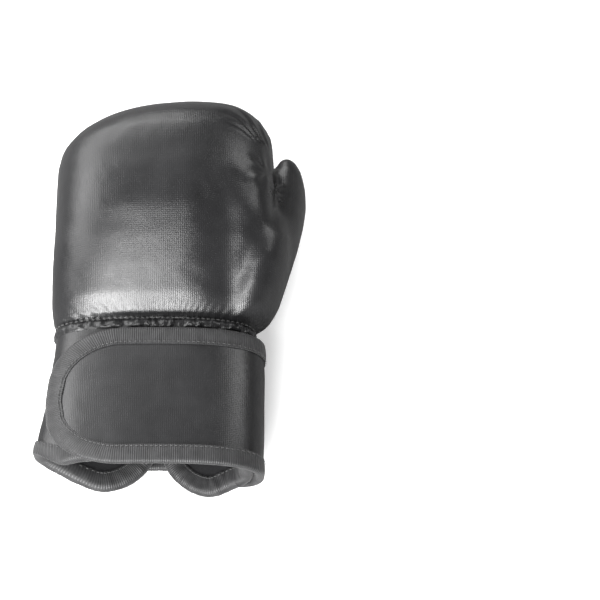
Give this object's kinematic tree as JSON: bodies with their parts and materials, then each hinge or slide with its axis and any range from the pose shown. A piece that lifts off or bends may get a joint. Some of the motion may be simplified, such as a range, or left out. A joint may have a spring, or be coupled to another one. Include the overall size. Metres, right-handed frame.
{
  "type": "boxing glove",
  "caption": "Padded left-hand boxing glove with a tethered thumb and a wide hook-and-loop wrist strap.",
  "frame": {"origin": "bottom centre of the whole glove, lying palm down", "axes": "+Y from the cuff to the knuckles, +X to the thumb, +Z to the back of the hand"},
  "size_m": [0.171, 0.2604, 0.111],
  "materials": {
    "glossy_leather": "glossy",
    "binding_tape": "satin",
    "lining": "matte",
    "foam": "matte",
    "hook_tape": "matte",
    "thread": "satin"
  },
  "bodies": {
    "hand": {"back_panel": "glossy_leather", "palm_panel": "glossy_leather", "finger_panel": "glossy_leather", "soft_knuckle_pad": "foam", "firm_knuckle_pad": "foam", "palm_pad": "foam", "finger_pad": "foam", "hand_lining": "lining", "grip_bar": "lining", "thumb_tether": "glossy_leather", "wrist_welt": "glossy_leather", "wrist_thread": "thread", "cuff_back_cover": "glossy_leather", "cuff_back_pad": "foam", "cuff_back_lining": "lining", "cuff_back_binding": "binding_tape", "loop_tape": "binding_tape", "strap_root": "glossy_leather"},
    "thumb": {"thumb_back_panel": "glossy_leather", "thumb_palm_panel": "glossy_leather", "thumb_pad": "foam", "thumb_lining": "lining"},
    "thumb_flap": {"thumb_flap_cover": "glossy_leather", "thumb_flap_pad": "foam", "thumb_flap_lining": "lining", "thumb_flap_binding": "binding_tape"},
    "little_finger_flap": {"little_finger_flap_cover": "glossy_leather", "little_finger_flap_pad": "foam", "little_finger_flap_lining": "lining", "little_finger_flap_binding": "binding_tape"},
    "strap_palm": {"strap_palm_cover": "glossy_leather", "strap_palm_core": "foam", "strap_palm_backing": "lining", "strap_palm_upper_binding": "binding_tape", "strap_palm_lower_binding": "binding_tape"},
    "strap_side": {"strap_side_cover": "glossy_leather", "strap_side_core": "foam", "strap_side_backing": "lining", "strap_side_upper_binding": "binding_tape", "strap_side_lower_binding": "binding_tape"},
    "strap_end": {"strap_end_cover": "glossy_leather", "strap_end_core": "foam", "strap_end_backing": "lining", "strap_end_binding": "binding_tape", "strap_end_thread": "thread", "hook_tape": "hook_tape"}
  },
  "joints": [
    {"name": "thumb_spread", "type": "hinge", "parent": "hand", "child": "thumb", "pos_m": [0.04402, 0.00676, 0.03097], "axis": [0, 0, 1], "range_deg": [-5, 0], "stiffness_Nm_per_rad": 5},
    {"name": "strap_root_swing", "type": "hinge", "parent": "hand", "child": "strap_palm", "pos_m": [-0.07134, -0.07924, 0.0123], "axis": [0, 1, 0], "range_deg": [0, 33]},
    {"name": "strap_unwrap", "type": "hinge", "parent": "strap_palm", "child": "strap_side", "pos_m": [0.04738, -0.07924, 0.0123], "axis": [0, 1, 0], "range_deg": [0, 110]},
    {"name": "strap_end_lift", "type": "hinge", "parent": "strap_side", "child": "strap_end", "pos_m": [0.02042, -0.07924, 0.0682], "axis": [0, 1, 0], "range_deg": [0, 90]},
    {"name": "thumb_flap_swing", "type": "hinge", "parent": "hand", "child": "thumb_flap", "pos_m": [0.0427, -0.0872, 0.01816], "axis": [0, 1, 0], "range_deg": [-16.5, 0]},
    {"name": "little_finger_flap_swing", "type": "hinge", "parent": "hand", "child": "little_finger_flap", "pos_m": [-0.06667, -0.0872, 0.01816], "axis": [0, 1, 0], "range_deg": [0, 16.5]}
  ],
  "couplings": [
    {"joint": "strap_root_swing", "follows": "strap_unwrap", "ratio": 0.3},
    {"joint": "thumb_flap_swing", "follows": "strap_unwrap", "ratio": -0.15},
    {"joint": "little_finger_flap_swing", "follows": "strap_unwrap", "ratio": 0.15}
  ]
}
